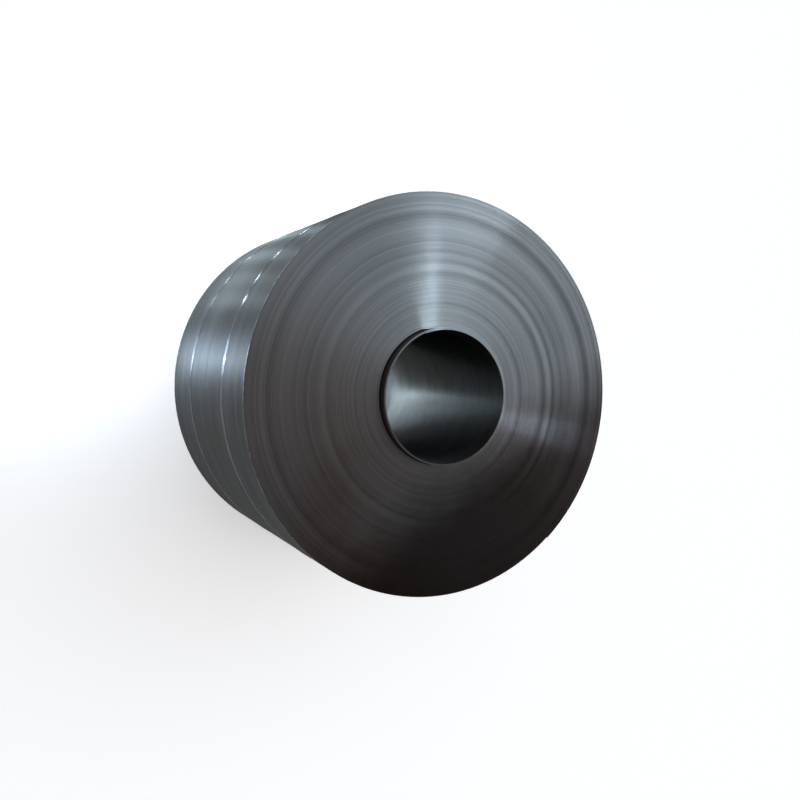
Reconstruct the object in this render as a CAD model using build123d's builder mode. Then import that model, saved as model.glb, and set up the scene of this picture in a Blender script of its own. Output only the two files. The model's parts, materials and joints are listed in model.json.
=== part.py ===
# Coil of steel strip, standing on its rear end with its eye to the sky, and bound round
# its circumference by two steel straps.
# Origin on the bore's axis, on the plane that the coil stands on. +Z runs up the bore.
from build123d import *
from math import acos, atan2, cos, degrees, radians, sin
import os

# Driving sizes of the coil, in millimetres
bore_diameter = 508.0
coil_diameter = 1546.0
strip_width = 1200.0
strip_thickness = 3.0
telescope_depth = 38.0
loose_gap = 8.0

# Driving sizes of the straps and their seals, in millimetres
strap_width = 32.0
strap_thickness = 0.9
lap_length = 110.0
seal_length = 58.0
seal_wall = 1.1
seal_clearance = 0.4
crimp_width = 7.0
crimp_depth = 2.4

# Places round the coil, in degrees, counter-clockwise from +X as seen from above.
# The strip is wound clockwise from its inner end to its tail.
tail_angle = -50.0
inner_end_angle = 110.0
inner_end_sweep = 60.0
loose_sweep = 150.0
seal_angle = 62.0

# Places of the straps along the strip's width, from the upper end
strap_place_shares = {"front": 0.252, "rear": 0.708}

# Places of a seal's crimps along its length, from its middle
crimp_place_shares = (-0.25, 0.25)

# Groups of turns that slid along the axis together. Each row is a group's inner and outer
# place in the wound build, from the bore's wall to the rim, and how high its inner and
# outer turns stand. Places are shares of the build, and slides of the telescope depth.
turn_group_shares = (
    (0.000, 0.014, 1.00, 1.00),
    (0.014, 0.198, 0.25, 0.21),
    (0.198, 0.214, 0.14, 0.14),
    (0.214, 0.408, 0.21, 0.16),
    (0.408, 0.428, 0.08, 0.08),
    (0.428, 0.498, 0.18, 0.17),
    (0.498, 0.578, 0.09, 0.08),
    (0.578, 0.668, 0.15, 0.12),
    (0.668, 0.786, 0.07, 0.06),
    (0.786, 0.826, 0.14, 0.12),
    (0.826, 0.862, 0.03, 0.03),
    (0.862, 0.950, 0.08, 0.04),
    (0.950, 1.000, 0.00, 0.00),
)

# Sizes that follow from the driving ones
bore_radius = bore_diameter / 2
coil_radius = coil_diameter / 2
build_up = coil_radius - bore_radius
winding_step = strip_thickness / 4
overrun = telescope_depth + strip_thickness
loose_turns_radius = bore_radius + build_up * turn_group_shares[0][1]
under_coil = Plane.XY.offset(-overrun)
cut_height = strip_width + telescope_depth + 2 * overrun


def toward(angle):
    """Unit vector in the end plane at an angle from +X."""
    return Vector(cos(radians(angle)), sin(radians(angle)))


def winding_arcs():
    """Four quarter arcs, each a step tighter, that close in by one strip over a turn."""
    centre = (toward(tail_angle) - toward(tail_angle + 90)) * (winding_step / 2)
    radius = coil_radius - winding_step / 2
    quarters = []
    for quarter in range(4):
        start = tail_angle + 90 * quarter
        quarters.append((centre, radius, start))
        centre = centre + toward(start + 90) * winding_step
        radius = radius - winding_step
    return quarters


arcs = winding_arcs()
first_centre, first_radius = arcs[0][:2]
last_centre, last_radius, last_start = arcs[3]
tail_tip = first_centre + toward(tail_angle) * first_radius
tail_foot = last_centre + toward(tail_angle) * last_radius


def turned_section():
    """Corners of the coil's section, as radius and height: up the lower end's groups of
    turns from the bore to the rim, and back along the upper end's."""
    lower = []
    upper = []
    for inner, outer, inner_slide, outer_slide in turn_group_shares:
        for place, slide in ((inner, inner_slide), (outer, outer_slide)):
            radius = bore_radius + build_up * place
            if place == 1:
                radius = coil_radius + overrun
            lower.append((radius, telescope_depth * slide))
            upper.append((radius, strip_width + telescope_depth * slide))
    return lower + upper[::-1]


def crescent(inner_radius, width, sweep):
    """Outline of a gap that is widest at the strip's inner end and runs out round a wall."""
    foot = toward(inner_end_angle) * inner_radius
    top = toward(inner_end_angle) * (inner_radius + width)
    half_way = toward(inner_end_angle + sweep / 2) * (inner_radius + width / 2)
    run_out = toward(inner_end_angle + sweep) * inner_radius
    Line(foot, top)
    ThreePointArc(top, half_way, run_out)
    CenterArc((0, 0), inner_radius, inner_end_angle, sweep)


# Coil: the turned section with its stepped ends, trimmed to the outermost turn's spiral
with BuildPart() as coil:
    with BuildSketch(Plane.XZ):
        with BuildLine():
            Polyline(turned_section(), close=True)
        make_face()
    revolve(axis=Axis.Z)
    # The outermost turn ends in a step as high as the strip is thick
    with BuildSketch(under_coil):
        with BuildLine():
            for centre, radius, start in arcs:
                CenterArc(centre, radius, start, 90)
            Line(tail_foot, tail_tip)
        make_face()
    extrude(amount=cut_height, mode=Mode.INTERSECT)
    # The strip's inner end is a step in the bore's wall, and the inner turns have sprung
    # in, which leaves a crescent gap outside them
    with BuildSketch(under_coil):
        with BuildLine():
            crescent(bore_radius, strip_thickness, inner_end_sweep)
        make_face()
        with BuildLine():
            crescent(loose_turns_radius, loose_gap, loose_sweep)
        make_face()
    extrude(amount=cut_height, mode=Mode.SUBTRACT)


def taut_outline(grow):
    """Outline of a strap pulled tight, grown outward: the winding, and a straight run
    from the tail's edge down to where it meets the turn below."""
    tip_from_centre = tail_tip - last_centre
    tip_angle = degrees(atan2(tip_from_centre.Y, tip_from_centre.X))
    touch_angle = tip_angle - degrees(acos(last_radius / tip_from_centre.length))
    for centre, radius, start in arcs[:3]:
        CenterArc(centre, radius + grow, start, 90)
    last_sweep = (touch_angle - last_start) % 360
    CenterArc(last_centre, last_radius + grow, last_start, last_sweep)
    touch = last_centre + toward(touch_angle) * (last_radius + grow)
    Line(touch, tail_tip + toward(touch_angle) * grow)
    if grow > 0:
        CenterArc(tail_tip, grow, touch_angle, tail_angle - touch_angle)


seal_quarter = int((seal_angle - tail_angle) % 360 // 90)
seal_centre, seal_seat_radius = arcs[seal_quarter][:2]
lap_seat_radius = seal_seat_radius + strap_thickness
seal_height = 2 * strap_thickness + seal_wall
channel_width = strap_width + 2 * seal_clearance
seal_width = channel_width + 2 * seal_wall


def curved_plate(inner_radius, height, length):
    """Outline of a plate that lies round the winding at the seal, from a radius outward."""
    sweep = degrees(length / inner_radius)
    start = seal_angle - sweep / 2
    CenterArc(seal_centre, inner_radius, start, sweep)
    CenterArc(seal_centre, inner_radius + height, start, sweep)
    for edge_angle in (start, start + sweep):
        foot = seal_centre + toward(edge_angle) * inner_radius
        Line(foot, foot + toward(edge_angle) * height)


os.makedirs("parts", exist_ok=True)
coil.part.label = "coil"
export_step(coil.part, "parts/coil.step")

for end, place_share in strap_place_shares.items():
    strap_height = strip_width * (1 - place_share)
    middle = Plane.XY.offset(strap_height)

    # Strap: a thin ring round the coil, doubled where its ends lap
    with BuildPart() as strap:
        with BuildSketch(middle):
            with BuildLine():
                taut_outline(strap_thickness)
            make_face()
            with BuildLine():
                taut_outline(0)
            make_face(mode=Mode.SUBTRACT)
            with BuildLine():
                curved_plate(lap_seat_radius, strap_thickness, lap_length)
            make_face()
        extrude(amount=strap_width / 2, both=True)

    # Seal: a sheet channel over the lap, crimped through both of its sides
    seal_top = Plane(
        origin=seal_centre + toward(seal_angle) * (seal_seat_radius + seal_height)
        + Vector(0, 0, strap_height),
        x_dir=toward(seal_angle + 90),
        z_dir=toward(seal_angle),
    )
    with BuildPart() as seal:
        with BuildSketch(middle):
            with BuildLine():
                curved_plate(seal_seat_radius, seal_height, seal_length)
            make_face()
        extrude(amount=seal_width / 2, both=True)
        with BuildSketch(middle):
            with BuildLine():
                curved_plate(seal_seat_radius - seal_wall, seal_height, 2 * seal_length)
            make_face()
        extrude(amount=channel_width / 2, both=True, mode=Mode.SUBTRACT)
        with BuildSketch(seal_top):
            crimp_places = [
                (seal_length * share, side * seal_width / 2)
                for share in crimp_place_shares
                for side in (-1, 1)
            ]
            with Locations(*crimp_places):
                Polygon(
                    (-crimp_width / 2, 0),
                    (0, -crimp_depth),
                    (crimp_width / 2, 0),
                    (0, crimp_depth),
                    align=None,
                )
        extrude(amount=-2 * seal_height, mode=Mode.SUBTRACT)

    for name, piece in (("strap", strap), ("strap_seal", seal)):
        piece.part.label = name + "_" + end
        export_step(piece.part, f"parts/{name}_{end}.step")
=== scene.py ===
"""Finishes the steel coil: its wound strip, its straps with their seals, and the studio."""

import json
from math import cos, radians, sin, tau

import bmesh
import bpy
from bpy.props import FloatProperty, FloatVectorProperty, IntProperty, PointerProperty
from bpy.types import Operator, Panel, PropertyGroup
from bpy.utils import register_class, unregister_class
from mathutils import Euler, Matrix, Vector


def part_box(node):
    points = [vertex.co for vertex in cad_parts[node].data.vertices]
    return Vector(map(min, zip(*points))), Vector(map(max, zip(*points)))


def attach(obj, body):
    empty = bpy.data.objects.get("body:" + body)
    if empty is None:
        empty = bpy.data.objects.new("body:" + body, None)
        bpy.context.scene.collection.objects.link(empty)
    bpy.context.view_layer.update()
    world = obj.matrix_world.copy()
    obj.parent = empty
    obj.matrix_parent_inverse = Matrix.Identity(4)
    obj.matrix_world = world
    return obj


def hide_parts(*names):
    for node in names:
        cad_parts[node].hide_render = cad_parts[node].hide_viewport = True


bl_info = {
    "name": "Steel Coil",
    "version": (1, 0, 0),
    "blender": (4, 5, 0),
    "location": "View3D > Sidebar > Steel Coil",
    "description": "Winds a coil of steel strip, straps it and lights it",
    "category": "Object",
}

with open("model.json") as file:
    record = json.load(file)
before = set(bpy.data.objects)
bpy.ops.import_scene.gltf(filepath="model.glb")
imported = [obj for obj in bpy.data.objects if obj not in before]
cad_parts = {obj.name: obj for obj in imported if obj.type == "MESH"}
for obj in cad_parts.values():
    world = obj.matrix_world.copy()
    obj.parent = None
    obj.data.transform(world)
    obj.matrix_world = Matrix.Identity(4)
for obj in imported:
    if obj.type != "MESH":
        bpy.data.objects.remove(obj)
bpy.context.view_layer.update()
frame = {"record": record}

# Sizes of the coil, in metres, which the frame gives except for its radius
coil_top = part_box("coil")[1].z
bore = next(mount for mount in frame["record"]["mounts"] if mount["name"] == "bore")
BORE_RADIUS = bore["dims"]["r_mm"] / 1000
STRIP_WIDTH = bore["dims"]["length_mm"] / 1000
TELESCOPE_DEPTH = coil_top - STRIP_WIDTH
COIL_RADIUS = 0.773

# The two straps and their seals, by the end of the coil that they are nearer to
STRAP_ENDS = ("front", "rear")

# Places round the coil, in degrees, counter-clockwise from +X as seen from above.
# The strip is wound clockwise from its inner end to its tail.
TAIL_ANGLE = -50.0
INNER_END_ANGLE = 110.0
SEAL_ANGLE = 62.0

# How far the turns have slid along the axis, in waves that show as light and dark rings:
# place in the wound build, from the bore's wall to the rim, and height, each as a share of
# the build and of the telescope depth
SLIDE_SHARES = (
    (0.00, 0.250),
    (0.07, 0.236),
    (0.11, 0.248),
    (0.13, 0.244),
    (0.175, 0.210),
    (0.205, 0.242),
    (0.31, 0.222),
    (0.37, 0.183),
    (0.395, 0.179),
    (0.43, 0.222),
    (0.45, 0.216),
    (0.48, 0.172),
    (0.49, 0.172),
    (0.515, 0.207),
    (0.57, 0.195),
    (0.59, 0.205),
    (0.69, 0.185),
    (0.77, 0.085),
    (0.81, 0.080),
    (0.86, 0.124),
    (0.93, 0.072),
    (0.95, 0.050),
    (0.965, 0.050),
    (0.99, 0.000),
    (1.00, 0.000),
)

# Light and dark rings of oxide on the ends: place in the wound build, as a share of it, and
# lightness, as a share of the range that the finish gives
RING_SHARES = (
    (0.000, 0.50),
    (0.050, 0.60),
    (0.100, 0.42),
    (0.150, 0.65),
    (0.190, 0.30),
    (0.225, 0.62),
    (0.300, 0.50),
    (0.330, 0.62),
    (0.380, 0.55),
    (0.415, 0.20),
    (0.460, 0.82),
    (0.500, 0.24),
    (0.540, 0.58),
    (0.575, 0.30),
    (0.600, 0.55),
    (0.660, 0.42),
    (0.745, 0.82),
    (0.800, 0.48),
    (0.840, 0.06),
    (0.875, 0.66),
    (0.930, 0.55),
    (0.960, 0.32),
    (0.980, 0.60),
    (1.000, 0.60),
)

# How far the inner turns have sprung in, and how far the next ones are pushed out, round
# the coil: share of a turn counter-clockwise from the strip's inner end, and share of the
# distance
SPRUNG_IN_SHARES = ((0.0, 0.0), (0.1, 1.0), (0.2, 0.9), (0.33, 0.4), (0.48, 0.0), (1.0, 0.0))
PUSHED_OUT_SHARES = (
    (0.0, 0.9),
    (0.03, 1.0),
    (0.12, 0.9),
    (0.2, 0.45),
    (0.33, 0.25),
    (0.5, 0.0),
    (0.975, 0.0),
    (1.0, 0.9),
)

# Turns that have sprung in, share of a turn over which the height changes beside them, and
# turns over which the next ones settle back onto the even spiral
LOOSE_TURNS = 2.3
LOOSE_MARGIN = 0.15
SETTLING_TURNS = 90.0

# Small groups of turns that slipped together: groups for each turn, and the share of a group
# after which its height passes into the next one's
SLIP_GROUPS = 0.21
SLIP_CROSSING = 0.4

# Waves of a wandering edge in one turn
WANDER_WAVES = 1.7

# A seal: places of its crimps along it and of its top's points across it, as shares, how far
# in from its side a crimp reaches, in metres, and how finely its mesh is divided
CRIMP_PLACE_SHARES = (-0.25, 0.25)
SEAL_TOP_SHARES = (0.88, 0.76, 0.6, 0.3, 0.0, -0.3, -0.6, -0.76, -0.88)
CRIMP_REACH = 0.006
SEAL_INNER_RADIUS = 0.0003
SHOULDER_STEPS = 5
SEAL_STATIONS = 64

# Corners that turn by more than this, in degrees, stay sharp
SHARP_ANGLE = 30.0

# The side that the coil lay on, as a direction across its axis, toward which painted shade darkens
# the coil
SHADED_SIDE = (0.5, -0.866, 0.0)

UPWARD = Vector((0.0, 0.0, 1.0))

# The photograph's camera, in metres and degrees, as it stood while the bore lay level
CAMERA_SPOT = Vector((-1.5465, 0.1699, 4.0273))
CAMERA_HEADING = 25.86
CAMERA_DIP = 3.25
CAMERA_LENS = 38.03
SENSOR_WIDTH = 36.0

# Brightness of the sky from the camera's lower side to its upper one: on the camera's left
# as shares of white, and on its right as shares of the gain
LEFT_SKY_SHARES = (
    (0.00, 0.06),
    (0.20, 0.06),
    (0.26, 0.07),
    (0.34, 0.18),
    (0.47, 0.30),
    (0.60, 0.42),
    (0.70, 0.78),
    (0.80, 0.90),
    (1.00, 0.70),
)
RIGHT_SKY_SHARES = (
    (0.00, 0.025),
    (0.24, 0.025),
    (0.30, 0.12),
    (0.33, 0.32),
    (0.36, 0.50),
    (0.42, 0.76),
    (0.50, 0.85),
    (0.60, 0.88),
    (0.71, 0.91),
    (1.00, 0.71),
)
RIGHT_SKY_GAIN = 2.7

# Brightness of the haze along the horizon, as a share of white
HAZE_BRIGHTNESS = 0.65

# Colours of the haze, the sky and the lamps, linear
HAZE = (1.0, 0.98, 0.97, 1.0)
WARM_SKY = (1.0, 0.80, 0.74, 1.0)
COOL_SKY = (0.80, 0.92, 1.0, 1.0)
COOL_LAMP = (0.73, 0.89, 1.0)
BLUE_LAMP = (0.62, 0.78, 1.0)

# The floor: its colour, linear, and half its side, in metres
FLOOR_PAPER = (0.90, 0.87, 0.85, 1.0)
FLOOR_REACH = 40.0

# Lamps whose light a spot on the end sends to the camera: the spot, the normal of its slit
# edges, the lamp's distance, the direction of its long side, its size and its colour
FACE_LAMPS = {
    "key": ((-0.04, 0.36), (-0.04, 0.28, 1.0), 1.3, (0.0, 1.0, -1.0), (0.06, 0.3), COOL_LAMP),
    "rim": ((0.15, 0.66), (0.07, 0.28, 1.0), 1.0, (0.0, 1.0, -1.0), (0.45, 0.12), COOL_LAMP),
    "side": ((0.34, -0.11), (0.27, -0.09, 1.0), 0.75, (1.0, -0.3, -1.0), (0.14, 0.12), BLUE_LAMP),
}

# The row of small lamps: direction round the coil, in degrees, in which a strap shows the
# lamp's glint, and its power as a share of the row's. The lamps stand where a barrel that
# leaned back by the rise, at the glints' height, would send their light to the camera.
GLINTS = ((124.0, 1.7), (135.0, 1.2), (144.2, 0.85), (151.4, 0.9), (169.5, 1.0))
GLINT_HEIGHT = 0.72 * STRIP_WIDTH
GLINT_RISE = 0.29
ROW_DISTANCE = 1.0
ROW_SIZE = (0.06, 0.12)

# Lamps that lay a light band on the barrel: their direction round the coil, in degrees, and
# the distance of each from the barrel, its height, the height it is turned to, and its size
BAND_ANGLE = 167.0
BARREL_LAMPS = {
    "band": (1.0, 0.22, 0.3 * STRIP_WIDTH, (0.4, 0.36)),
    "foot": (0.4, 0.09, 0.2 * STRIP_WIDTH, (0.3, 0.12)),
}

# Lamps low in the bore: place across it and width, in metres, and share of the power
BORE_LAMPS = {"line": (0.005, 0.01, 0.55), "wash": (0.08, 0.07, 0.45)}
BORE_LAMP_HEIGHT = 0.02
BORE_LAMP_LENGTH = 0.22


def length_property(name, description, value):
    return FloatProperty(name=name, description=description, default=value, unit="LENGTH")


class CoilSizes(PropertyGroup):
    """Sizes of the wound strip."""

    pitch: length_property("Pitch", "Distance from one turn to the next", 0.003)
    thickness: length_property("Thickness", "Of the strip, a little under its pitch", 0.00283)
    segments: IntProperty(
        name="Segments", description="Sections of the mesh in each turn", default=144, min=36
    )
    slip: length_property("Slip", "How unevenly small groups of turns have slid", 0.0004)
    wander: length_property("Wander", "How far an edge wanders along its length", 0.00005)
    slant: length_property("Slant", "How far a slit edge falls off outward", 0.0008)
    spring: length_property("Spring", "How far the innermost turns have sprung in", 0.004)
    gap: length_property("Gap", "How far the turns outside those are pushed out", 0.008)
    seed: IntProperty(
        name="Seed", description="Start of the random draws for slip and wander", default=7
    )


class StrapSizes(PropertyGroup):
    """Sizes of the straps and their seals."""

    thickness: length_property("Thickness", "Thickness of a strap", 0.00089)
    chamfer: length_property("Chamfer", "Size of a strap's worn corners", 0.0002)
    lap: length_property("Lap", "Length over which a strap's ends lie on each other", 0.110)
    rise: length_property("Rise", "Length over which a strap climbs onto its own end", 0.020)
    segments: IntProperty(
        name="Segments", description="Sections of a strap's mesh", default=900, min=180
    )
    seal_length: length_property("Seal Length", "Length of a seal", 0.058)
    seal_wall: length_property("Seal Wall", "Thickness of a seal", 0.0011)
    seal_clearance: length_property("Seal Clearance", "Between its sides and the strap", 0.0004)
    seal_shoulder: length_property("Seal Shoulder", "Radius of its corners, outside", 0.0014)
    crimp_width: length_property("Crimp Width", "Width of a crimp", 0.007)
    crimp_depth: length_property("Crimp Depth", "How far a crimp presses a side in", 0.0014)


def color_property(name, description, value):
    return FloatVectorProperty(
        name=name,
        description=description,
        default=value,
        subtype="COLOR",
        size=3,
        min=0.0,
        max=1.0,
    )


class FinishColors(PropertyGroup):
    """Colours of the finishes, linear."""

    rolled: color_property("Rolled", "Blue-grey of the rolled faces", (0.108, 0.112, 0.113))
    olive: color_property("Olive", "Duller oxide on the rolled faces", (0.103, 0.102, 0.09))
    slit: color_property("Slit", "Bare steel of the slit edges", (0.19, 0.195, 0.20))
    tarnish: color_property("Tarnish", "Rusty tarnish on the slit edges", (0.13, 0.09, 0.075))
    # Dark brown of the shade painted on the side that the coil lay on
    painted_shade: color_property("Painted Shade", "Brown grime on the side it lay on", (0.026, 0.018, 0.017))
    worn: color_property("Worn", "Bright steel of worn corners", (0.33, 0.35, 0.37))
    strap: color_property("Strap", "Blued steel of the straps", (0.28, 0.295, 0.31))


def power_property(name, description, value):
    return FloatProperty(name=name, description=description, default=value, unit="POWER")


class StudioSizes(PropertyGroup):
    """Light of the studio."""

    floor_glow: FloatProperty(
        name="Floor Glow",
        description="Brightness that the floor shows besides the light that falls on it",
        default=0.5,
    )
    key_power: power_property("Key", "Power of the key lamp", 1.3)
    rim_power: power_property("Rim", "Power of the lamp near the rim", 0.9)
    side_power: power_property("Side", "Power of the side lamp", 0.4)
    band_power: power_property("Band", "Power of the low lamp", 9.8)
    foot_power: power_property("Foot", "Power of the lowest lamp", 0.8)
    row_power: power_property("Row", "Power of a small lamp with a share of one", 2.9)
    bore_power: power_property("Bore", "Power of the lamps in the bore together", 0.8)


class NodeMaker:
    """Adds nodes to a tree and joins them, so that a formula is written in order."""

    def __init__(self, tree):
        self.tree = tree

    def feed(self, socket, value):
        if isinstance(value, bpy.types.NodeSocket):
            self.tree.links.new(value, socket)
        else:
            socket.default_value = value

    def node(self, kind, feeds=None, **settings):
        made = self.tree.nodes.new(kind)
        for name, value in settings.items():
            setattr(made, name, value)
        for key, value in (feeds or {}).items():
            self.feed(made.inputs[key], value)
        return made

    def math(self, operation, *values):
        return self.node("ShaderNodeMath", dict(enumerate(values)), operation=operation).outputs[0]

    def ramp(self, value, low, high, to_low=0.0, to_high=1.0, smooth=False):
        kind = "SMOOTHSTEP" if smooth else "LINEAR"
        feeds = {0: value, 1: low, 2: high, 3: to_low, 4: to_high}
        return self.node("ShaderNodeMapRange", feeds, interpolation_type=kind).outputs[0]

    def curve(self, value, points):
        """A curve with straight runs between its points."""
        made = self.node("ShaderNodeFloatCurve", {"Value": value})
        drawn = made.mapping.curves[0]
        drawn.points[0].location = points[0]
        drawn.points[1].location = points[-1]
        for point in points[1:-1]:
            drawn.points.new(*point)
        for point in drawn.points:
            point.handle_type = "VECTOR"
        made.mapping.update()
        return made.outputs[0]

    def blend(self, factor, first, second):
        return self.node("ShaderNodeMix", {0: factor, 2: first, 3: second}).outputs[0]

    def tint(self, factor, first, second, kind="MIX"):
        feeds = {0: factor, 6: first, 7: second}
        return self.node("ShaderNodeMix", feeds, data_type="RGBA", blend_type=kind).outputs[2]

    def combine(self, x=0.0, y=0.0, z=0.0):
        return self.node("ShaderNodeCombineXYZ", {0: x, 1: y, 2: z}).outputs[0]

    def separate(self, vector):
        return self.node("ShaderNodeSeparateXYZ", {0: vector}).outputs

    def random(self, value):
        kind = "ShaderNodeTexWhiteNoise"
        return self.node(kind, {"W": value}, noise_dimensions="1D").outputs["Value"]

    def mark(self, geometry, name, value):
        """Keeps a value with the points, for the materials to read."""
        feeds = {"Geometry": geometry, "Name": name, "Value": value}
        return self.node("GeometryNodeStoreNamedAttribute", feeds).outputs[0]

    def noise(self, vector, scale=1.0, detail=2.0, roughness=0.5):
        feeds = {"Vector": vector, "Scale": scale, "Detail": detail, "Roughness": roughness}
        return self.node("ShaderNodeTexNoise", feeds).outputs[0]


def new_group(name, kind, inputs, outputs):
    """A node group with named inputs and outputs, its maker, and its two ends."""
    tree = bpy.data.node_groups.new(name, kind)
    for label, socket in inputs:
        tree.interface.new_socket(label, in_out="INPUT", socket_type="NodeSocket" + socket)
    for label, socket in outputs:
        tree.interface.new_socket(label, in_out="OUTPUT", socket_type="NodeSocket" + socket)
    make = NodeMaker(tree)
    return tree, make, make.node("NodeGroupInput").outputs, make.node("NodeGroupOutput").inputs


def grown_piece(name, tree, values):
    """A plain mesh object that a Geometry Nodes tree makes from the named values."""
    seed_mesh = bpy.data.meshes.new(name + "_seed")
    grower = bpy.data.objects.new(name + "_seed", seed_mesh)
    bpy.context.scene.collection.objects.link(grower)
    modifier = grower.modifiers.new(name, "NODES")
    modifier.node_group = tree
    for item in tree.interface.items_tree:
        if item.item_type == "SOCKET" and item.in_out == "INPUT":
            modifier[item.identifier] = values[item.name]
    graph = bpy.context.evaluated_depsgraph_get()
    grown = grower.evaluated_get(graph)
    mesh = bpy.data.meshes.new_from_object(grown, preserve_all_data_layers=True, depsgraph=graph)
    mesh.name = name
    grower.modifiers.remove(modifier)
    bpy.data.objects.remove(grower)
    bpy.data.meshes.remove(seed_mesh)
    return placed(name, mesh)


def placed(name, mesh):
    """Puts a mesh in the scene, and stops if there is nothing in it."""
    if not mesh.polygons:
        raise RuntimeError(name + " came out empty")
    piece = bpy.data.objects.new(name, mesh)
    bpy.context.scene.collection.objects.link(piece)
    return piece


def smooth(piece):
    """Shades a piece smooth between its sharp corners."""
    piece.data.shade_smooth()
    piece.data.set_sharp_from_angle(angle=radians(SHARP_ANGLE))


def wound_strip_tree():
    """One strip wound on a spiral, whose turns have slid along the axis in waves."""
    tree, make, given, made = new_group(
        "Wound Strip",
        "GeometryNodeTree",
        (
            ("Bore Radius", "Float"),
            ("Coil Radius", "Float"),
            ("Strip Width", "Float"),
            ("Thickness", "Float"),
            ("Turns", "Float"),
            ("Sections", "Int"),
            ("Inner End Angle", "Float"),
            ("Telescope Depth", "Float"),
            ("Slip", "Float"),
            ("Wander", "Float"),
            ("Slant", "Float"),
            ("Spring", "Float"),
            ("Gap", "Float"),
            ("Loose Turns", "Float"),
            ("Settling Turns", "Float"),
            ("Seed", "Int"),
            ("Rolled Face", "Material"),
            ("Slit Edge", "Material"),
        ),
        (("Geometry", "Geometry"),),
    )
    line = make.node("GeometryNodeCurvePrimitiveLine")
    feeds = {"Curve": line.outputs[0], "Count": given["Sections"]}
    path = make.node("GeometryNodeResampleCurve", feeds).outputs[0]
    factor = make.node("GeometryNodeSplineParameter").outputs["Factor"]
    turn = make.math("MULTIPLY", factor, given["Turns"])
    half_thickness = make.math("MULTIPLY", given["Thickness"], 0.5)
    half_width = make.math("MULTIPLY", given["Strip Width"], 0.5)

    # Radius: an even spiral, with the loose turns sprung in and the next ones pushed out
    build = make.math("SUBTRACT", given["Coil Radius"], given["Bore Radius"])
    build = make.math("SUBTRACT", build, given["Thickness"])
    first = make.math("ADD", given["Bore Radius"], half_thickness)
    radius = make.math("MULTIPLY_ADD", build, factor, first)
    from_end = make.math("SUBTRACT", 1.0, make.math("FRACT", turn))
    in_share = make.curve(from_end, SPRUNG_IN_SHARES)
    out_share = make.curve(from_end, PUSHED_OUT_SHARES)
    last_settling = make.math("ADD", given["Loose Turns"], given["Settling Turns"])
    settling = make.ramp(turn, given["Loose Turns"], last_settling, 1.0, 0.0)
    inward = make.math("MULTIPLY", in_share, make.math("MULTIPLY", given["Spring"], -1.0))
    outward = make.math("MULTIPLY", make.math("MULTIPLY", out_share, settling), given["Gap"])
    tight = make.math("GREATER_THAN", turn, given["Loose Turns"])
    radius = make.math("ADD", radius, make.blend(tight, inward, outward))

    # Height: the waves, the loose turns, small random groups and a wandering edge
    loose_start = make.math("SUBTRACT", given["Loose Turns"], LOOSE_MARGIN)
    loose_stop = make.math("ADD", given["Loose Turns"], LOOSE_MARGIN)
    loose = make.ramp(turn, loose_start, loose_stop, 1.0, 0.0, smooth=True)
    share = make.blend(loose, make.curve(factor, SLIDE_SHARES), 1.0)
    height = make.math("MULTIPLY", share, given["Telescope Depth"])
    group = make.math("MULTIPLY", turn, SLIP_GROUPS)
    number = make.math("ADD", make.math("FLOOR", group), given["Seed"])
    crossing = make.ramp(make.math("FRACT", group), SLIP_CROSSING, 1.0, smooth=True)
    slip = make.blend(crossing, make.random(number), make.random(make.math("ADD", number, 1.0)))
    slip = make.math("SUBTRACT", slip, 0.5)
    height = make.math("MULTIPLY_ADD", slip, given["Slip"], height)
    place = make.math("ADD", turn, given["Seed"])
    feeds = {"W": place, "Scale": WANDER_WAVES, "Detail": 1.0}
    wander = make.node("ShaderNodeTexNoise", feeds, noise_dimensions="1D").outputs[0]
    wander = make.math("SUBTRACT", wander, 0.5)
    height = make.math("MULTIPLY_ADD", wander, given["Wander"], height)
    height = make.math("MAXIMUM", height, 0.0)
    height = make.math("MINIMUM", height, given["Telescope Depth"])

    angle = make.math("MULTIPLY_ADD", turn, -tau, given["Inner End Angle"])
    spot = make.combine(
        make.math("MULTIPLY", radius, make.math("COSINE", angle)),
        make.math("MULTIPLY", radius, make.math("SINE", angle)),
        make.math("ADD", height, half_width),
    )
    # The marks come before the line is wound, while a point's factor is still even
    marked = make.mark(path, "middle", make.math("ADD", height, half_width))
    marked = make.mark(marked, "turn", turn)
    marked = make.mark(marked, "share", factor)
    last_turn = make.math("SUBTRACT", given["Turns"], 1.0)
    marked = make.mark(marked, "outermost", make.math("GREATER_THAN", turn, last_turn))
    marked = make.mark(marked, "innermost", make.math("LESS_THAN", turn, 1.0))
    spiral = make.node("GeometryNodeSetPosition", {"Geometry": marked, "Position": spot})
    upright = make.node("GeometryNodeSetCurveNormal", {0: spiral.outputs[0]}, mode="Z_UP")

    # Section: the strip on edge. Its first axis runs inward, and its outer corners are
    # rounded off by a slant.
    low = make.math("MULTIPLY", half_width, -1.0)
    outer = make.math("MULTIPLY", half_thickness, -1.0)
    corners = (
        (outer, make.math("ADD", low, given["Slant"])),
        (half_thickness, low),
        (half_thickness, half_width),
        (outer, make.math("SUBTRACT", half_width, given["Slant"])),
    )
    section = make.node("GeometryNodeCurvePrimitiveQuadrilateral", mode="POINTS")
    for number, (across, along) in enumerate(corners, start=1):
        make.feed(section.inputs[f"Point {number}"], make.combine(across, along))
    feeds = {
        "Curve": upright.outputs[0],
        "Profile Curve": section.outputs[0],
        "Fill Caps": True,
    }
    strip = make.node("GeometryNodeCurveToMesh", feeds)
    solid = make.node("GeometryNodeRealizeInstances", {0: strip.outputs[0]})
    facing = make.node("GeometryNodeInputNormal").outputs[0]
    steepness = make.math("ABSOLUTE", make.separate(facing)[2])
    on_edge = make.math("GREATER_THAN", steepness, 0.5)
    feeds = {"Geometry": solid.outputs[0], "Material": given["Rolled Face"]}
    faced = make.node("GeometryNodeSetMaterial", feeds)
    feeds = {"Geometry": faced.outputs[0], "Selection": on_edge, "Material": given["Slit Edge"]}
    make.feed(made[0], make.node("GeometryNodeSetMaterial", feeds).outputs[0])
    return tree


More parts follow.
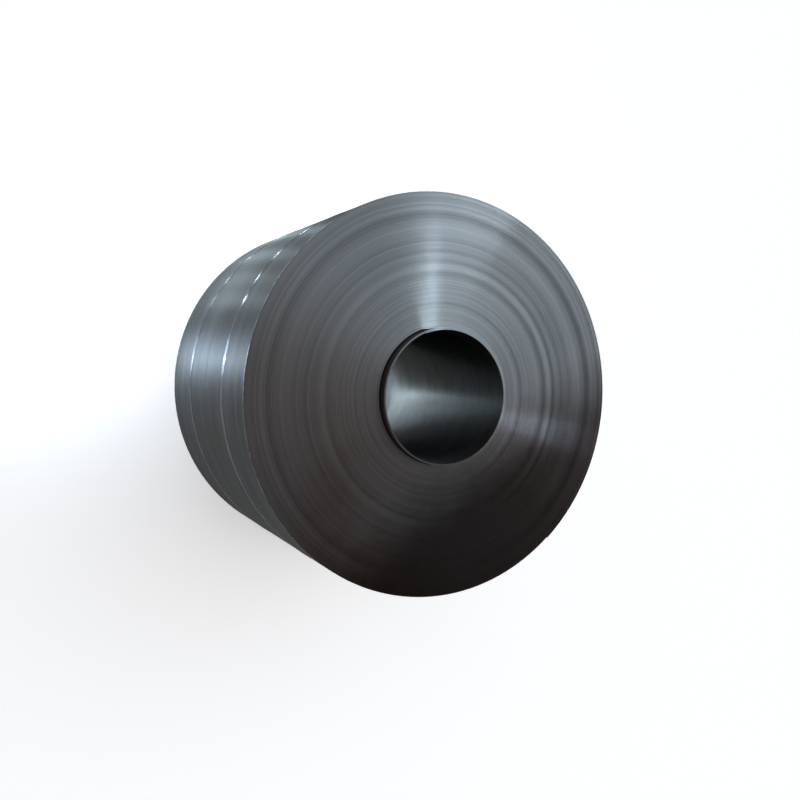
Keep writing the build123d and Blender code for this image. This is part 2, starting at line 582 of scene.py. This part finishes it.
def strap_tree():
    """One strap: it starts under its own lap, goes once round the coil and over the
    tail's step in a straight run, and climbs onto its own end."""
    tree, make, given, made = new_group(
        "Strap",
        "GeometryNodeTree",
        (
            ("Coil Radius", "Float"),
            ("Pitch", "Float"),
            ("Tail Angle", "Float"),
            ("Middle Angle", "Float"),
            ("Height", "Float"),
            ("Width", "Float"),
            ("Thickness", "Float"),
            ("Chamfer", "Float"),
            ("Lap", "Float"),
            ("Rise", "Float"),
            ("Sections", "Int"),
            ("Material", "Material"),
        ),
        (("Geometry", "Geometry"),),
    )
    line = make.node("GeometryNodeCurvePrimitiveLine")
    feeds = {"Curve": line.outputs[0], "Count": given["Sections"]}
    path = make.node("GeometryNodeResampleCurve", feeds).outputs[0]
    factor = make.node("GeometryNodeSplineParameter").outputs["Factor"]
    half_thickness = make.math("MULTIPLY", given["Thickness"], 0.5)
    lap_angle = make.math("DIVIDE", given["Lap"], given["Coil Radius"])
    start = make.math("MULTIPLY_ADD", lap_angle, -0.5, given["Middle Angle"])
    swept = make.math("MULTIPLY", make.math("ADD", lap_angle, tau), factor)
    angle = make.math("ADD", start, swept)

    # The winding's radius, which falls by one pitch over the turn from the tail, and the
    # straight run from the turn below up to the tail's edge
    from_tail = make.math("SUBTRACT", angle, given["Tail Angle"])
    from_tail = make.math("FLOORED_MODULO", from_tail, tau)
    radius_below = make.math("SUBTRACT", given["Coil Radius"], given["Pitch"])
    run = make.math("ARCCOSINE", make.math("DIVIDE", radius_below, given["Coil Radius"]))
    touch = make.math("SUBTRACT", tau, run)
    wound = make.math("DIVIDE", make.math("MINIMUM", from_tail, touch), touch)
    fallen = make.math("MULTIPLY", wound, given["Pitch"])
    winding = make.math("SUBTRACT", given["Coil Radius"], fallen)
    past = make.math("MAXIMUM", make.math("SUBTRACT", from_tail, touch), 0.0)
    winding = make.math("DIVIDE", winding, make.math("COSINE", past))

    rise_angle = make.math("DIVIDE", given["Rise"], given["Coil Radius"])
    climb = make.math("SUBTRACT", tau, rise_angle)
    climbed = make.ramp(swept, climb, tau, smooth=True)
    seat = make.math("ADD", winding, half_thickness)
    radius = make.math("MULTIPLY_ADD", climbed, given["Thickness"], seat)
    spot = make.combine(
        make.math("MULTIPLY", radius, make.math("COSINE", angle)),
        make.math("MULTIPLY", radius, make.math("SINE", angle)),
        given["Height"],
    )
    loop = make.node("GeometryNodeSetPosition", {"Geometry": path, "Position": spot})
    upright = make.node("GeometryNodeSetCurveNormal", {0: loop.outputs[0]}, mode="Z_UP")
    feeds = {"Width": given["Thickness"], "Height": given["Width"]}
    flat = make.node("GeometryNodeCurvePrimitiveQuadrilateral", feeds, mode="RECTANGLE")
    feeds = {"Curve": flat.outputs[0], "Radius": given["Chamfer"], "Count": 1}
    section = make.node("GeometryNodeFilletCurve", feeds, mode="POLY")
    feeds = {
        "Curve": upright.outputs[0],
        "Profile Curve": section.outputs[0],
        "Fill Caps": True,
    }
    band = make.node("GeometryNodeCurveToMesh", feeds)
    solid = make.node("GeometryNodeRealizeInstances", {0: band.outputs[0]})
    feeds = {"Geometry": solid.outputs[0], "Material": given["Material"]}
    make.feed(made[0], make.node("GeometryNodeSetMaterial", feeds).outputs[0])
    return tree


def grain_group():
    """Streaks that run round the coil, on its rolled faces and on its ends."""
    tree, make, given, made = new_group(
        "Rolling Grain",
        "ShaderNodeTree",
        (("Position", "Vector"), ("Around Scale", "Float"), ("Across Scale", "Float")),
        (("Barrel Grain", "Float"), ("End Grain", "Float")),
    )
    x, y, z = make.separate(given["Position"])
    flat = make.combine(x, y, 0.0)
    radius = make.node("ShaderNodeVectorMath", {0: flat}, operation="LENGTH").outputs["Value"]
    around = make.node("ShaderNodeVectorMath", {0: flat}, operation="NORMALIZE").outputs[0]
    around_x, around_y, _ = make.separate(around)
    turned_x = make.math("MULTIPLY", around_x, given["Around Scale"])
    turned_y = make.math("MULTIPLY", around_y, given["Around Scale"])
    for socket, across in zip(made, (z, radius)):
        scaled = make.math("MULTIPLY", across, given["Across Scale"])
        grain = make.combine(turned_x, turned_y, scaled)
        make.feed(socket, make.noise(grain, detail=3.0, roughness=0.6))
    return tree


def patch_group():
    """Soft-edged patches of tarnish or oxide."""
    tree, make, given, made = new_group(
        "Tarnish Patches",
        "ShaderNodeTree",
        (("Position", "Vector"), ("Scale", "Float"), ("Cover", "Float"), ("Softness", "Float")),
        (("Mask", "Float"),),
    )
    cloud = make.noise(given["Position"], given["Scale"], detail=4.0, roughness=0.55)
    start = make.math("SUBTRACT", 1.0, given["Cover"])
    stop = make.math("ADD", start, given["Softness"])
    make.feed(made[0], make.ramp(cloud, start, stop, smooth=True))
    return tree


def wear_group():
    """Rubbed margin along both edges of a strip, broken up by fine noise."""
    tree, make, given, made = new_group(
        "Edge Wear",
        "ShaderNodeTree",
        (
            ("Position", "Vector"),
            ("Middle", "Float"),
            ("Half Width", "Float"),
            ("Reach", "Float"),
            ("Break Scale", "Float"),
        ),
        (("Mask", "Float"),),
    )
    height = make.separate(given["Position"])[2]
    from_middle = make.math("ABSOLUTE", make.math("SUBTRACT", height, given["Middle"]))
    from_edge = make.math("SUBTRACT", given["Half Width"], from_middle)
    edge = make.ramp(from_edge, 0.0, given["Reach"], 1.0, 0.0)
    chips = make.noise(given["Position"], given["Break Scale"], detail=4.0, roughness=0.65)
    make.feed(made[0], make.math("MULTIPLY", edge, make.ramp(chips, 0.4, 0.6)))
    return tree


def side_shade_group():
    """Painted shade on the side that the coil lay on, ragged at its margin."""
    tree, make, given, made = new_group(
        "Side Grime",
        "ShaderNodeTree",
        (("Position", "Vector"), ("Start", "Float"), ("Full", "Float")),
        (("Mask", "Float"),),
    )
    feeds = {0: given["Position"], 1: SHADED_SIDE}
    toward_side = make.node("ShaderNodeVectorMath", feeds, operation="DOT_PRODUCT")
    cloud = make.noise(given["Position"], 2.6, detail=5.0, roughness=0.6)
    ragged = make.math("MULTIPLY", make.math("SUBTRACT", cloud, 0.5), 0.3)
    place = make.math("ADD", toward_side.outputs["Value"], ragged)
    make.feed(made[0], make.ramp(place, given["Start"], given["Full"], smooth=True))
    return tree


class MetalMaker(NodeMaker):
    """Builds a steel finish round one Principled shader."""

    def __init__(self, name, roughness, anisotropy, edge_tint=1.0):
        material = bpy.data.materials.new(name)
        material.use_nodes = True
        super().__init__(material.node_tree)
        self.material = material
        self.roughness = roughness
        self.shader = self.tree.nodes["Principled BSDF"].inputs
        self.shader["Metallic"].default_value = 1.0
        self.shader["Roughness"].default_value = roughness
        self.shader["Anisotropic"].default_value = anisotropy
        # A quarter turn, so that a highlight is drawn out across the grain
        self.shader["Anisotropic Rotation"].default_value = 0.25
        self.shader["Specular Tint"].default_value = (edge_tint, edge_tint, edge_tint, 1.0)
        around = self.node("ShaderNodeTangent", direction_type="RADIAL", axis="Z").outputs[0]
        self.feed(self.shader["Tangent"], around)
        self.position = self.node("ShaderNodeTexCoord").outputs["Object"]

    def group(self, name, **values):
        """One of the shared effects, with its own values."""
        made = self.node("ShaderNodeGroup", node_tree=bpy.data.node_groups[name])
        self.feed(made.inputs["Position"], self.position)
        for label, value in values.items():
            self.feed(made.inputs[label.replace("_", " ").title()], value)
        return made.outputs

    def marked(self, name):
        """A value that the piece's points carry."""
        return self.node("ShaderNodeAttribute", attribute_name=name).outputs["Fac"]

    def toned(self, color, value, darkest, lightest, low=0.3, high=0.7):
        """A colour made darker and lighter by a value."""
        tone = self.ramp(value, low, high, darkest, lightest)
        return self.tint(1.0, color, self.combine(tone, tone, tone), "MULTIPLY")

    def uneven(self, noise, spread):
        """The finish's roughness, spread by a noise."""
        return self.math("MULTIPLY_ADD", self.math("SUBTRACT", noise, 0.5), spread, self.roughness)

    def bump(self, height, distance, strength):
        feeds = {"Height": height, "Distance": distance, "Strength": strength}
        self.feed(self.shader["Normal"], self.node("ShaderNodeBump", feeds).outputs[0])


def rgba(color):
    return (*color, 1.0)


def rolled_finish():
    """Rolled face of the strip: dark blue-grey oxide with fine streaks along the strip."""
    colors = bpy.context.scene.finish_colors
    steel = MetalMaker("rolled_steel", roughness=0.52, anisotropy=0.78, edge_tint=0.38)
    broad = steel.group("Rolling Grain", around_scale=1.5, across_scale=22.0)["Barrel Grain"]
    fine = steel.group("Rolling Grain", around_scale=6.0, across_scale=260.0)["Barrel Grain"]
    patches = steel.group("Tarnish Patches", scale=1.7, cover=0.55, softness=0.3)["Mask"]
    color = steel.tint(patches, rgba(colors.rolled), rgba(colors.olive))
    color = steel.toned(color, broad, 0.82, 1.22)
    color = steel.toned(color, fine, 0.88, 1.14)
    wear = steel.group(
        "Edge Wear",
        middle=steel.marked("middle"),
        half_width=STRIP_WIDTH / 2,
        reach=0.016,
        break_scale=40.0,
    )["Mask"]
    wear = steel.math("MULTIPLY", wear, steel.marked("outermost"))
    color = steel.tint(wear, color, rgba(colors.worn))
    # Painted shade: the barrel is darkened toward the side that the coil lay on
    painted_shade = steel.group("Side Grime", start=0.25, full=0.75)["Mask"]
    color = steel.tint(steel.math("MULTIPLY", painted_shade, 0.3), color, rgba(colors.painted_shade))
    steel.feed(steel.shader["Base Color"], color)
    # The innermost turn, which the mandrel rubbed, is smoother
    rubbed = steel.math("MULTIPLY", steel.marked("innermost"), 0.18)
    rough = steel.math("SUBTRACT", steel.uneven(broad, 0.14), rubbed)
    steel.feed(steel.shader["Roughness"], rough)
    steel.bump(fine, 0.00012, 0.5)
    return steel.material


def slit_finish():
    """Slit edges of the turns: barer steel, ringed, with brownish tarnish."""
    colors = bpy.context.scene.finish_colors
    steel = MetalMaker("slit_edges", roughness=0.32, anisotropy=0.82)
    broad = steel.group("Rolling Grain", around_scale=0.25, across_scale=45.0)["End Grain"]
    fine = steel.group("Rolling Grain", around_scale=0.4, across_scale=210.0)["End Grain"]
    patches = steel.group("Tarnish Patches", scale=1.6, cover=0.6, softness=0.35)["Mask"]
    # There is more tarnish on the side that was lower while the coil lay
    low = steel.ramp(steel.separate(steel.position)[1], 0.1, -0.7)
    patches = steel.math("MULTIPLY", steel.math("MULTIPLY_ADD", low, 0.85, 0.15), patches)
    color = steel.tint(patches, rgba(colors.slit), rgba(colors.tarnish))
    color = steel.toned(color, broad, 0.97, 1.03)
    rings = steel.curve(steel.marked("share"), RING_SHARES)
    color = steel.toned(color, rings, 0.8, 1.2, low=0.0, high=1.0)
    turn = steel.random(steel.math("FLOOR", steel.marked("turn")))
    color = steel.toned(color, steel.blend(0.35, fine, turn), 0.84, 1.16, low=0.25, high=0.75)
    # Painted shade: the ends are darkened strongly toward the side that the coil lay on
    painted_shade = steel.group("Side Grime", start=0.12, full=0.5)["Mask"]
    color = steel.tint(steel.math("MULTIPLY", painted_shade, 0.93), color, rgba(colors.painted_shade))
    steel.feed(steel.shader["Base Color"], color)
    steel.feed(steel.shader["Roughness"], steel.uneven(fine, 0.1))
    steel.bump(fine, 0.0001, 0.6)
    return steel.material


def strap_finish():
    """Strapping: smooth blued steel with a few scuffs."""
    colors = bpy.context.scene.finish_colors
    steel = MetalMaker("blued_strapping", roughness=0.26, anisotropy=1.0, edge_tint=0.1)
    fine = steel.group("Rolling Grain", around_scale=9.0, across_scale=420.0)["Barrel Grain"]
    scuffs = steel.group("Tarnish Patches", scale=14.0, cover=0.4, softness=0.12)["Mask"]
    color = steel.toned(rgba(colors.strap), fine, 0.85, 1.15)
    color = steel.tint(steel.math("MULTIPLY", scuffs, 0.25), color, rgba(colors.worn))
    steel.feed(steel.shader["Base Color"], color)
    rough = steel.math("MULTIPLY_ADD", scuffs, 0.05, steel.roughness)
    steel.feed(steel.shader["Roughness"], rough)
    steel.bump(fine, 0.00005, 0.4)
    return steel.material


def finish_for(name):
    """The finish of that name, built the first time that it is asked for."""
    for group, build in (
        ("Rolling Grain", grain_group),
        ("Tarnish Patches", patch_group),
        ("Edge Wear", wear_group),
        ("Side Grime", side_shade_group),
    ):
        if group not in bpy.data.node_groups:
            build()
    builders = {
        "rolled_steel": rolled_finish,
        "slit_edges": slit_finish,
        "blued_strapping": strap_finish,
    }
    return bpy.data.materials.get(name) or builders[name]()


class COIL_OT_wind(Operator):
    """Winds the strip into the coil"""

    bl_idname = "coil.wind"
    bl_label = "Wind Strip"

    def execute(self, context):
        sizes = context.scene.coil_sizes
        end_share = (INNER_END_ANGLE - TAIL_ANGLE) / 360
        build = COIL_RADIUS - BORE_RADIUS - sizes.thickness
        turns = int(build / sizes.pitch - end_share) + end_share
        coil = grown_piece(
            "wound_strip",
            wound_strip_tree(),
            {
                "Bore Radius": BORE_RADIUS,
                "Coil Radius": COIL_RADIUS,
                "Strip Width": STRIP_WIDTH,
                "Thickness": sizes.thickness,
                "Turns": turns,
                "Sections": round(turns * sizes.segments) + 1,
                "Inner End Angle": radians(INNER_END_ANGLE),
                "Telescope Depth": TELESCOPE_DEPTH,
                "Slip": sizes.slip,
                "Wander": sizes.wander,
                "Slant": sizes.slant,
                "Spring": sizes.spring,
                "Gap": sizes.gap,
                "Loose Turns": LOOSE_TURNS,
                "Settling Turns": SETTLING_TURNS,
                "Seed": sizes.seed,
                "Rolled Face": finish_for("rolled_steel"),
                "Slit Edge": finish_for("slit_edges"),
            },
        )
        smooth(coil)
        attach(coil, "root")
        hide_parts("coil")
        return {"FINISHED"}


class COIL_OT_strap(Operator):
    """Pulls the two straps round the coil"""

    bl_idname = "coil.strap"
    bl_label = "Pull Straps"

    def execute(self, context):
        sizes = context.scene.strap_sizes
        tree = strap_tree()
        for end in STRAP_ENDS:
            low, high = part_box("strap_" + end)
            strap = grown_piece(
                "strap_band_" + end,
                tree,
                {
                    "Coil Radius": COIL_RADIUS,
                    "Pitch": context.scene.coil_sizes.pitch,
                    "Tail Angle": radians(TAIL_ANGLE),
                    "Middle Angle": radians(SEAL_ANGLE),
                    "Height": (low.z + high.z) / 2,
                    "Width": high.z - low.z,
                    "Thickness": sizes.thickness,
                    "Chamfer": sizes.chamfer,
                    "Lap": sizes.lap,
                    "Rise": sizes.rise,
                    "Sections": sizes.segments + 1,
                    "Material": finish_for("blued_strapping"),
                },
            )
            smooth(strap)
            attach(strap, "root")
            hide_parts("strap_" + end)
        return {"FINISHED"}


def channel_section(half_width, height, wall, shoulder_radius):
    """Outer and inner outline of a seal's section, as places across and above its seat."""
    outlines = []
    for inset in (0.0, wall):
        radius = max(shoulder_radius - inset, SEAL_INNER_RADIUS)
        corner_across = half_width - inset - radius
        corner_height = height - inset - radius
        half = [(half_width - inset, 0.0)]
        for step in range(SHOULDER_STEPS + 1):
            turn = radians(90 * step / SHOULDER_STEPS)
            half.append((corner_across + radius * cos(turn), corner_height + radius * sin(turn)))
        top = [(corner_across * share, height - inset) for share in SEAL_TOP_SHARES]
        mirrored_half = [(-across, above) for across, above in reversed(half)]
        outlines.append(half + top + mirrored_half)
    return outlines


def seal_mesh(name, sizes, height, strap_width):
    """A seal bent round the lap, whose sides are pressed in at its crimps."""
    below_tail = radians(SEAL_ANGLE - TAIL_ANGLE) / tau
    seat = COIL_RADIUS - below_tail * bpy.context.scene.coil_sizes.pitch
    half_width = strap_width / 2 + sizes.seal_clearance + sizes.seal_wall
    top = 2 * sizes.thickness + sizes.seal_wall
    outlines = channel_section(half_width, top, sizes.seal_wall, sizes.seal_shoulder)
    crimp_places = [sizes.seal_length * share for share in CRIMP_PLACE_SHARES]
    shell = bmesh.new()
    rings = []
    for station in range(SEAL_STATIONS + 1):
        along = sizes.seal_length * (station / SEAL_STATIONS - 0.5)
        nearest = min(abs(along - place) for place in crimp_places)
        pressed = sizes.crimp_depth * max(0.0, 1 - 2 * nearest / sizes.crimp_width)
        angle = radians(SEAL_ANGLE) + along / seat
        ring = []
        for across, above in outlines[0] + outlines[1][::-1]:
            near_side = max(0.0, 1 - (half_width - abs(across)) / CRIMP_REACH)
            pull = pressed * near_side * (1 if across > 0 else -1)
            radius = seat + above
            spot = Vector((radius * cos(angle), radius * sin(angle), height + across - pull))
            ring.append(shell.verts.new(spot))
        rings.append(ring)
    count = len(rings[0])
    for ring, next_ring in zip(rings, rings[1:]):
        for number in range(count):
            after = (number + 1) % count
            shell.faces.new((ring[number], ring[after], next_ring[after], next_ring[number]))
    for ring in (rings[0], rings[-1]):
        for number in range(count // 2 - 1):
            inner = count - 1 - number
            shell.faces.new((ring[number], ring[number + 1], ring[inner - 1], ring[inner]))
    bmesh.ops.recalc_face_normals(shell, faces=shell.faces)
    mesh = bpy.data.meshes.new(name)
    shell.to_mesh(mesh)
    shell.free()
    return mesh


class COIL_OT_seal(Operator):
    """Crimps a seal over the lap of each strap"""

    bl_idname = "coil.seal"
    bl_label = "Crimp Seals"

    def execute(self, context):
        sizes = context.scene.strap_sizes
        for end in STRAP_ENDS:
            low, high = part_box("strap_" + end)
            name = "crimped_seal_" + end
            seal = placed(name, seal_mesh(name, sizes, (low.z + high.z) / 2, high.z - low.z))
            seal.data.materials.append(finish_for("blued_strapping"))
            smooth(seal)
            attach(seal, "root")
            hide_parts("strap_seal_" + end)
        return {"FINISHED"}


def beside_axis(angle, radius, height):
    """The place at an angle round the coil, in degrees, a radius from its axis and a height."""
    return Vector((radius * cos(radians(angle)), radius * sin(radians(angle)), height))


def area_lamp(name, spot, target, long_side, size, power, color):
    """A lamp that the camera doesn't see, turned to a target, with its long side in line
    with a direction."""
    light = bpy.data.lights.new(name, "AREA")
    light.shape = "RECTANGLE"
    light.size, light.size_y = size
    light.energy = power
    light.color = color
    lamp = bpy.data.objects.new(name, light)
    back = (spot - target).normalized()
    across = long_side.cross(back).normalized()
    along = back.cross(across)
    turn = Matrix((across, along, back)).transposed()
    lamp.matrix_world = Matrix.Translation(spot) @ turn.to_4x4()
    lamp.visible_camera = False
    bpy.context.scene.collection.objects.link(lamp)


def mirrored(spot, normal, reach):
    """Where a lamp stands whose light a spot with that normal sends to the camera."""
    view = (CAMERA_SPOT - spot).normalized()
    facing = normal.normalized()
    return spot + (2 * facing.dot(view) * facing - view) * reach


class COIL_OT_stage(Operator):
    """Lays the floor, hangs the lamps and sets the camera"""

    bl_idname = "coil.stage"
    bl_label = "Set Stage"

    def execute(self, context):
        self.lay_floor(context)
        self.light_world(context)
        self.hang_lamps(context)
        self.set_camera(context)
        return {"FINISHED"}

    def lay_floor(self, context):
        mesh = bpy.data.meshes.new("floor")
        shell = bmesh.new()
        bmesh.ops.create_grid(shell, x_segments=1, y_segments=1, size=FLOOR_REACH)
        shell.to_mesh(mesh)
        shell.free()
        floor = placed("floor", mesh)
        material = bpy.data.materials.new("floor_paper")
        material.use_nodes = True
        paper = NodeMaker(material.node_tree)
        material.node_tree.nodes.clear()
        diffuse = paper.node("ShaderNodeBsdfDiffuse", {"Color": FLOOR_PAPER})
        ray = paper.node("ShaderNodeLightPath").outputs
        seen = paper.math("MAXIMUM", ray["Is Camera Ray"], ray["Is Glossy Ray"])
        seen = paper.math("MAXIMUM", seen, ray["Is Transmission Ray"])
        glow = paper.math("MULTIPLY", seen, context.scene.studio_sizes.floor_glow)
        shine = paper.node("ShaderNodeEmission", {"Strength": glow})
        both = paper.node("ShaderNodeAddShader", {0: diffuse.outputs[0], 1: shine.outputs[0]})
        paper.node("ShaderNodeOutputMaterial", {"Surface": both.outputs[0]})
        mesh.materials.append(material)

    def light_world(self, context):
        """Soft light that is cool above the camera's view, and warm and dim below it, with a
        pale haze along the horizon."""
        world = bpy.data.worlds.new("studio")
        world.use_nodes = True
        sky = NodeMaker(world.node_tree)
        world.node_tree.nodes.clear()
        right, across, up = sky.separate(sky.node("ShaderNodeTexCoord").outputs["Generated"])
        place = sky.ramp(across, -1.0, 1.0)
        right_glow = sky.math("MULTIPLY", sky.curve(place, RIGHT_SKY_SHARES), RIGHT_SKY_GAIN)
        on_right = sky.ramp(right, 0.1, 0.7, smooth=True)
        glow = sky.blend(on_right, sky.curve(place, LEFT_SKY_SHARES), right_glow)
        # The sky is dimmer at its far left, and low down
        glow = sky.math("MULTIPLY", glow, sky.ramp(right, -0.7, -0.15, 0.35, 1.0))
        glow = sky.math("MULTIPLY", glow, sky.ramp(up, 0.15, 0.45, 0.4, 1.0))
        # The haze reaches a little higher on the camera's lower right
        lower = sky.math("MULTIPLY", across, 0.6)
        lower_right = sky.math("SUBTRACT", sky.math("MULTIPLY", right, 0.8), lower)
        haze = sky.ramp(lower_right, -0.1, 0.4, 0.38, 0.42, smooth=True)
        horizon = sky.ramp(sky.math("DIVIDE", up, haze), 0.2, 1.0, 1.0, 0.0, smooth=True)
        strength = sky.blend(horizon, glow, HAZE_BRIGHTNESS)
        coolness = sky.ramp(sky.math("MULTIPLY_ADD", right, 0.5, across), -0.3, 0.45)
        color = sky.tint(coolness, WARM_SKY, COOL_SKY)
        color = sky.tint(horizon, color, HAZE)
        shine = sky.node("ShaderNodeBackground", {"Color": color, "Strength": strength})
        sky.node("ShaderNodeOutputWorld", {"Surface": shine.outputs[0]})
        context.scene.world = world

    def hang_lamps(self, context):
        powers = context.scene.studio_sizes
        for name, (place, normal, reach, long_side, size, color) in FACE_LAMPS.items():
            spot = Vector((*place, STRIP_WIDTH))
            lamp = mirrored(spot, Vector(normal), reach)
            power = getattr(powers, name + "_power")
            area_lamp(name + "_lamp", lamp, spot, Vector(long_side), size, power, color)
        for number, (angle, share) in enumerate(GLINTS):
            spot = beside_axis(angle, COIL_RADIUS, GLINT_HEIGHT)
            lamp = mirrored(spot, beside_axis(angle, 1.0, GLINT_RISE), ROW_DISTANCE)
            power = powers.row_power * share
            area_lamp(f"row_lamp_{number}", lamp, spot, UPWARD, ROW_SIZE, power, COOL_LAMP)
        for name, (distance, height, target_height, size) in BARREL_LAMPS.items():
            lamp = beside_axis(BAND_ANGLE, COIL_RADIUS + distance, height)
            target = beside_axis(BAND_ANGLE, COIL_RADIUS, target_height)
            power = getattr(powers, name + "_power")
            area_lamp(name + "_lamp", lamp, target, UPWARD, size, power, BLUE_LAMP)
        along = Vector((1.0, 0.0, 0.0))
        for name, (place, width, share) in BORE_LAMPS.items():
            lamp = Vector((0.0, place, BORE_LAMP_HEIGHT))
            size = (width, BORE_LAMP_LENGTH)
            power = powers.bore_power * share
            area_lamp("bore_" + name, lamp, lamp + UPWARD, along, size, power, COOL_LAMP)

    def set_camera(self, context):
        view = bpy.data.cameras.new("camera")
        view.lens = CAMERA_LENS
        view.sensor_width = SENSOR_WIDTH
        camera = bpy.data.objects.new("camera", view)
        level = Euler((radians(90 - CAMERA_DIP), 0.0, radians(-CAMERA_HEADING))).to_matrix()
        upended = Matrix.Rotation(radians(-90), 3, "X") @ level
        camera.matrix_world = Matrix.Translation(CAMERA_SPOT) @ upended.to_4x4()
        context.scene.collection.objects.link(camera)
        context.scene.camera = camera
        context.scene.view_settings.view_transform = "Standard"


class COIL_PT_panel(Panel):
    """Lists the steps and their sizes"""

    bl_idname = "COIL_PT_panel"
    bl_label = "Steel Coil"
    bl_space_type = "VIEW_3D"
    bl_region_type = "UI"
    bl_category = "Steel Coil"

    def draw(self, context):
        scene = context.scene
        for operators, settings in (
            ((COIL_OT_wind,), scene.coil_sizes),
            ((COIL_OT_strap, COIL_OT_seal), scene.strap_sizes),
            ((COIL_OT_stage,), scene.studio_sizes),
        ):
            box = self.layout.box()
            for operator in operators:
                box.operator(operator.bl_idname)
            for name in settings.__annotations__:
                box.prop(settings, name)
        box = self.layout.box()
        for name in scene.finish_colors.__annotations__:
            box.prop(scene.finish_colors, name)


CLASSES = (
    CoilSizes,
    StrapSizes,
    FinishColors,
    StudioSizes,
    COIL_OT_wind,
    COIL_OT_strap,
    COIL_OT_seal,
    COIL_OT_stage,
    COIL_PT_panel,
)


def register():
    for kind in CLASSES:
        register_class(kind)
    bpy.types.Scene.coil_sizes = PointerProperty(type=CoilSizes)
    bpy.types.Scene.strap_sizes = PointerProperty(type=StrapSizes)
    bpy.types.Scene.finish_colors = PointerProperty(type=FinishColors)
    bpy.types.Scene.studio_sizes = PointerProperty(type=StudioSizes)


def unregister():
    del bpy.types.Scene.studio_sizes
    del bpy.types.Scene.finish_colors
    del bpy.types.Scene.strap_sizes
    del bpy.types.Scene.coil_sizes
    for kind in reversed(CLASSES):
        unregister_class(kind)


def main():
    register()
    bpy.ops.coil.stage()
    bpy.ops.coil.wind()
    bpy.ops.coil.strap()
    bpy.ops.coil.seal()


if __name__ == "__main__":
    main()
